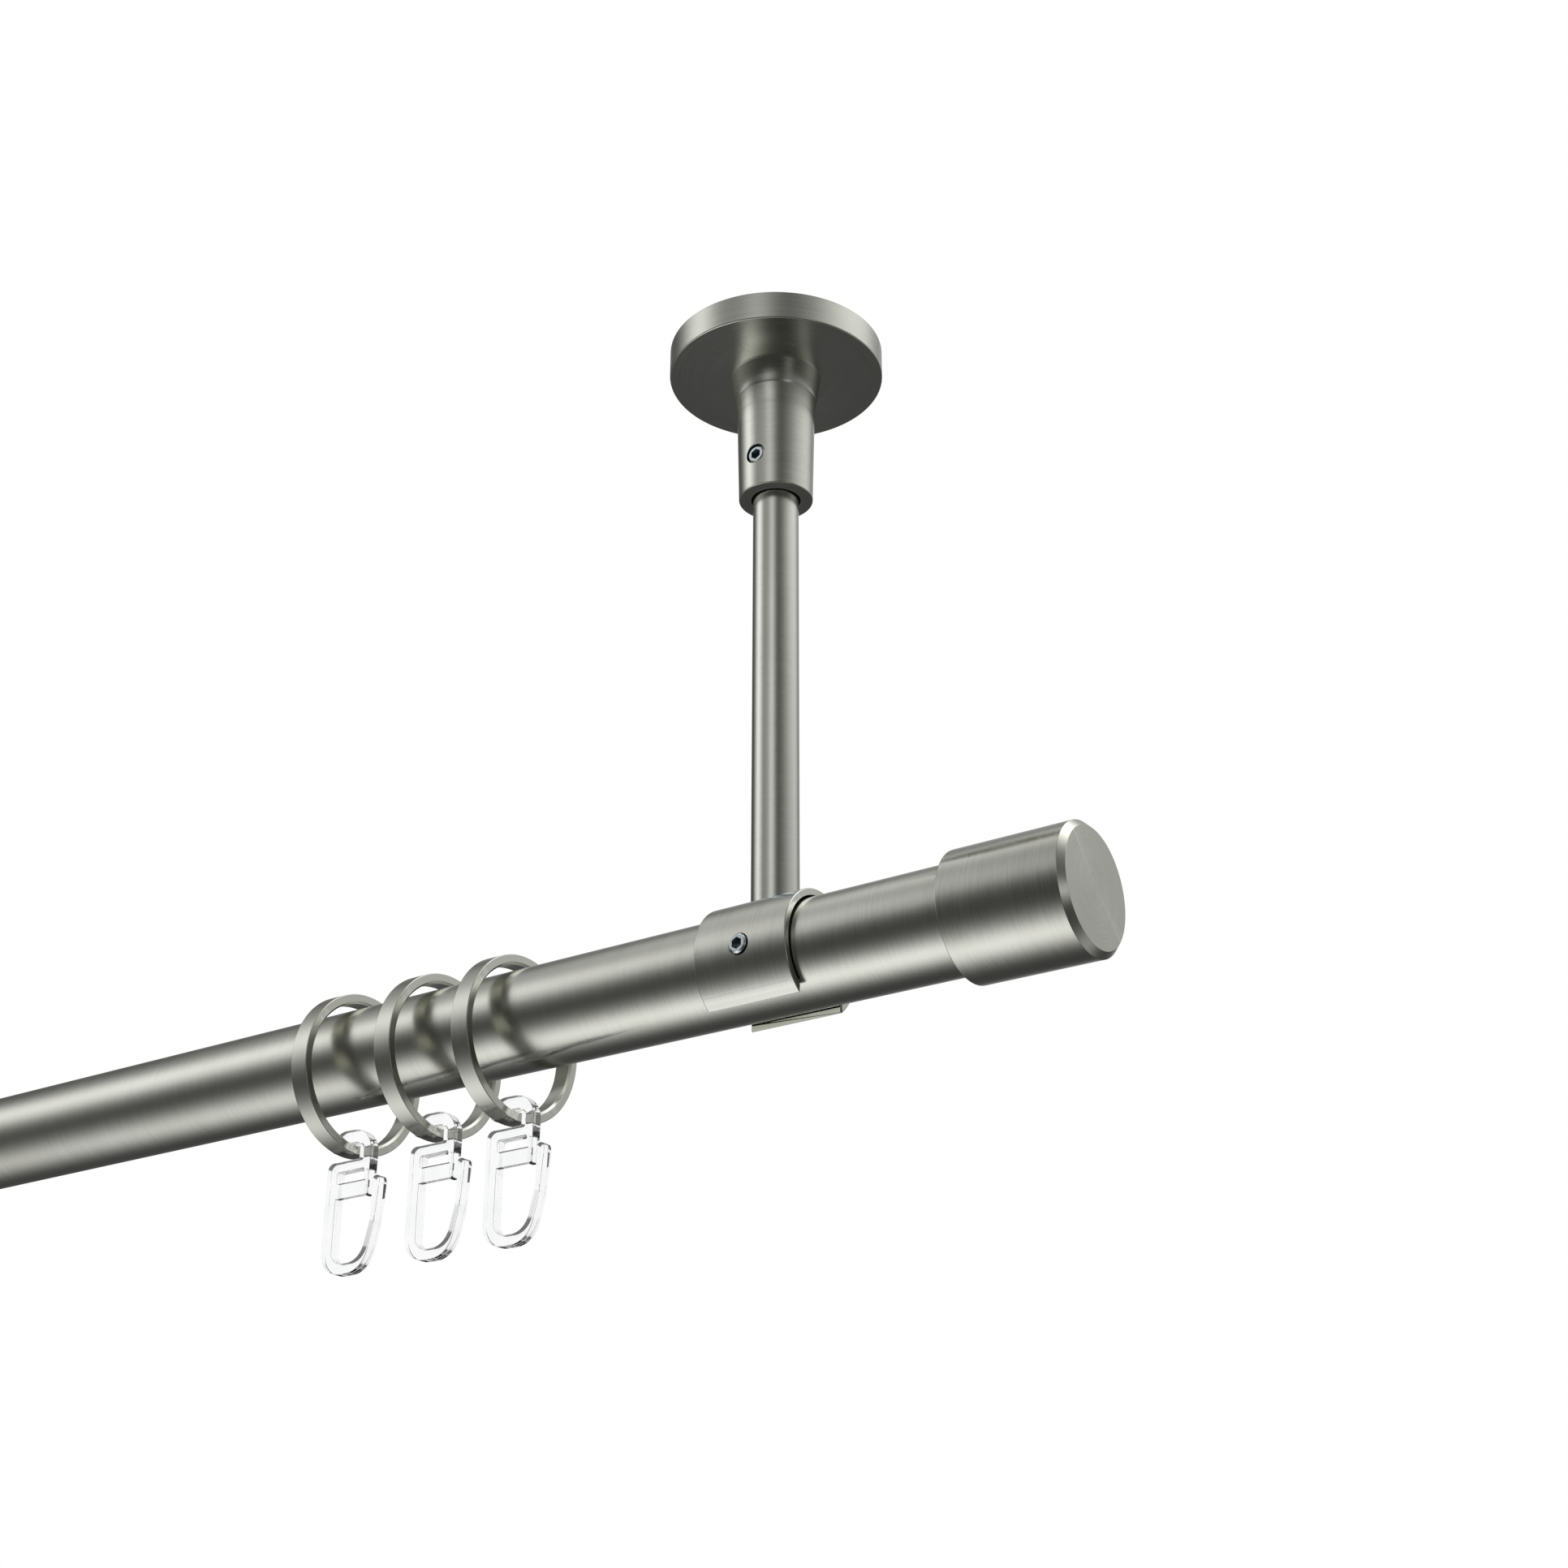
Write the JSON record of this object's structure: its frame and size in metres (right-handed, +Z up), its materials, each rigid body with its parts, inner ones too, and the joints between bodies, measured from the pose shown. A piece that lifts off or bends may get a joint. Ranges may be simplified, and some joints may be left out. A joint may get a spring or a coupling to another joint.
{
  "type": "curtain rod with brackets",
  "caption": "Ceiling-mounted round curtain rod in brushed steel, with drop brackets, C-clamps, chamfered end caps, sliding rings and clear pleat hooks.",
  "frame": {"origin": "centre of the four ceiling screw holes, on the ceiling plane midway between the two brackets", "axes": "+X along the tube, +Z up into the ceiling, -Y towards the room, the side the set screws face"},
  "size_m": [1.007, 0.043, 0.1753],
  "materials": {
    "brushed_steel": "satin, fine brush lines round the turned pieces",
    "ring_steel": "satin with a bright bevel",
    "zinc_screw": "bluish zinc plating",
    "zinc_plate": "dull zinc plating",
    "clear_plastic": "clear moulded plastic",
    "black_plastic": "moulded plug"
  },
  "bodies": {
    "brackets": {"mounting_plate_left": "zinc_plate", "mounting_plate_right": "zinc_plate", "threaded_stud_left": "zinc_screw", "threaded_stud_right": "zinc_screw", "ceiling_disc_left": "brushed_steel", "ceiling_disc_right": "brushed_steel", "collar_left": "brushed_steel", "collar_right": "brushed_steel", "collar_set_screw_left": "zinc_screw", "collar_set_screw_right": "zinc_screw", "drop_rod_left": "brushed_steel", "drop_rod_right": "brushed_steel", "clamp_left": "brushed_steel", "clamp_right": "brushed_steel", "clamp_set_screw_left": "zinc_screw", "clamp_set_screw_right": "zinc_screw", "drop_rod_screw_left": "zinc_screw", "drop_rod_screw_right": "zinc_screw"},
    "rod": {"rod_tube": "brushed_steel"},
    "cap_left": {"end_cap_left": "brushed_steel", "cap_insert_left": "black_plastic"},
    "cap_right": {"end_cap_right": "brushed_steel", "cap_insert_right": "black_plastic"},
    "ring_body_01": {"ring_01": "ring_steel"},
    "hook_body_01": {"hook_01": "clear_plastic"},
    "ring_body_02": {"ring_02": "ring_steel"},
    "hook_body_02": {"hook_02": "clear_plastic"},
    "ring_body_03": {"ring_03": "ring_steel"},
    "hook_body_03": {"hook_03": "clear_plastic"},
    "ring_body_04": {"ring_04": "ring_steel"},
    "hook_body_04": {"hook_04": "clear_plastic"},
    "ring_body_05": {"ring_05": "ring_steel"},
    "hook_body_05": {"hook_05": "clear_plastic"},
    "ring_body_06": {"ring_06": "ring_steel"},
    "hook_body_06": {"hook_06": "clear_plastic"},
    "ring_body_07": {"ring_07": "ring_steel"},
    "hook_body_07": {"hook_07": "clear_plastic"},
    "ring_body_08": {"ring_08": "ring_steel"},
    "hook_body_08": {"hook_08": "clear_plastic"},
    "ring_body_09": {"ring_09": "ring_steel"},
    "hook_body_09": {"hook_09": "clear_plastic"},
    "ring_body_10": {"ring_10": "ring_steel"},
    "hook_body_10": {"hook_10": "clear_plastic"}
  },
  "joints": [
    {"name": "rod_slide", "type": "slide", "parent": "brackets", "child": "rod", "axis": [1, 0, 0], "range_m": [-0.03, 0.03]},
    {"name": "cap_left_pull", "type": "slide", "parent": "rod", "child": "cap_left", "axis": [-1, 0, 0], "range_m": [0, 0.04]},
    {"name": "cap_right_pull", "type": "slide", "parent": "rod", "child": "cap_right", "axis": [1, 0, 0], "range_m": [0, 0.04]},
    {"name": "ring_01_slide", "type": "slide", "parent": "brackets", "child": "ring_body_01", "axis": [1, 0, 0], "range_m": [0, 0.048]},
    {"name": "ring_02_slide", "type": "slide", "parent": "brackets", "child": "ring_body_02", "axis": [1, 0, 0], "range_m": [0, 0.004]},
    {"name": "ring_03_slide", "type": "slide", "parent": "brackets", "child": "ring_body_03", "axis": [1, 0, 0], "range_m": [-0.068, 0.006]},
    {"name": "ring_04_slide", "type": "slide", "parent": "brackets", "child": "ring_body_04", "axis": [1, 0, 0], "range_m": [-0.052, 0.074]},
    {"name": "ring_05_slide", "type": "slide", "parent": "brackets", "child": "ring_body_05", "axis": [1, 0, 0], "range_m": [-0.052, 0.052]},
    {"name": "ring_06_slide", "type": "slide", "parent": "brackets", "child": "ring_body_06", "axis": [1, 0, 0], "range_m": [-0.052, 0.052]},
    {"name": "ring_07_slide", "type": "slide", "parent": "brackets", "child": "ring_body_07", "axis": [1, 0, 0], "range_m": [-0.074, 0.052]},
    {"name": "ring_08_slide", "type": "slide", "parent": "brackets", "child": "ring_body_08", "axis": [1, 0, 0], "range_m": [-0.006, 0.068]},
    {"name": "ring_09_slide", "type": "slide", "parent": "brackets", "child": "ring_body_09", "axis": [1, 0, 0], "range_m": [-0.004, 0]},
    {"name": "ring_10_slide", "type": "slide", "parent": "brackets", "child": "ring_body_10", "axis": [1, 0, 0], "range_m": [-0.048, 0]},
    {"name": "hook_01_swing", "type": "hinge", "parent": "ring_body_01", "child": "hook_body_01", "pos_m": [0.37845, 0, -0.13495], "axis": [1, 0, 0], "range_deg": [-30, 30]},
    {"name": "hook_02_swing", "type": "hinge", "parent": "ring_body_02", "child": "hook_body_02", "pos_m": [0.35895, 0, -0.13495], "axis": [1, 0, 0], "range_deg": [-30, 30]},
    {"name": "hook_03_swing", "type": "hinge", "parent": "ring_body_03", "child": "hook_body_03", "pos_m": [0.33705, 0, -0.13495], "axis": [1, 0, 0], "range_deg": [-30, 30]},
    {"name": "hook_04_swing", "type": "hinge", "parent": "ring_body_04", "child": "hook_body_04", "pos_m": [0.18, 0, -0.13495], "axis": [1, 0, 0], "range_deg": [-30, 30]},
    {"name": "hook_05_swing", "type": "hinge", "parent": "ring_body_05", "child": "hook_body_05", "pos_m": [0.06, 0, -0.13495], "axis": [1, 0, 0], "range_deg": [-30, 30]},
    {"name": "hook_06_swing", "type": "hinge", "parent": "ring_body_06", "child": "hook_body_06", "pos_m": [-0.06, 0, -0.13495], "axis": [1, 0, 0], "range_deg": [-30, 30]},
    {"name": "hook_07_swing", "type": "hinge", "parent": "ring_body_07", "child": "hook_body_07", "pos_m": [-0.18, 0, -0.13495], "axis": [1, 0, 0], "range_deg": [-30, 30]},
    {"name": "hook_08_swing", "type": "hinge", "parent": "ring_body_08", "child": "hook_body_08", "pos_m": [-0.33705, 0, -0.13495], "axis": [1, 0, 0], "range_deg": [-30, 30]},
    {"name": "hook_09_swing", "type": "hinge", "parent": "ring_body_09", "child": "hook_body_09", "pos_m": [-0.35895, 0, -0.13495], "axis": [1, 0, 0], "range_deg": [-30, 30]},
    {"name": "hook_10_swing", "type": "hinge", "parent": "ring_body_10", "child": "hook_body_10", "pos_m": [-0.37845, 0, -0.13495], "axis": [1, 0, 0], "range_deg": [-30, 30]}
  ]
}
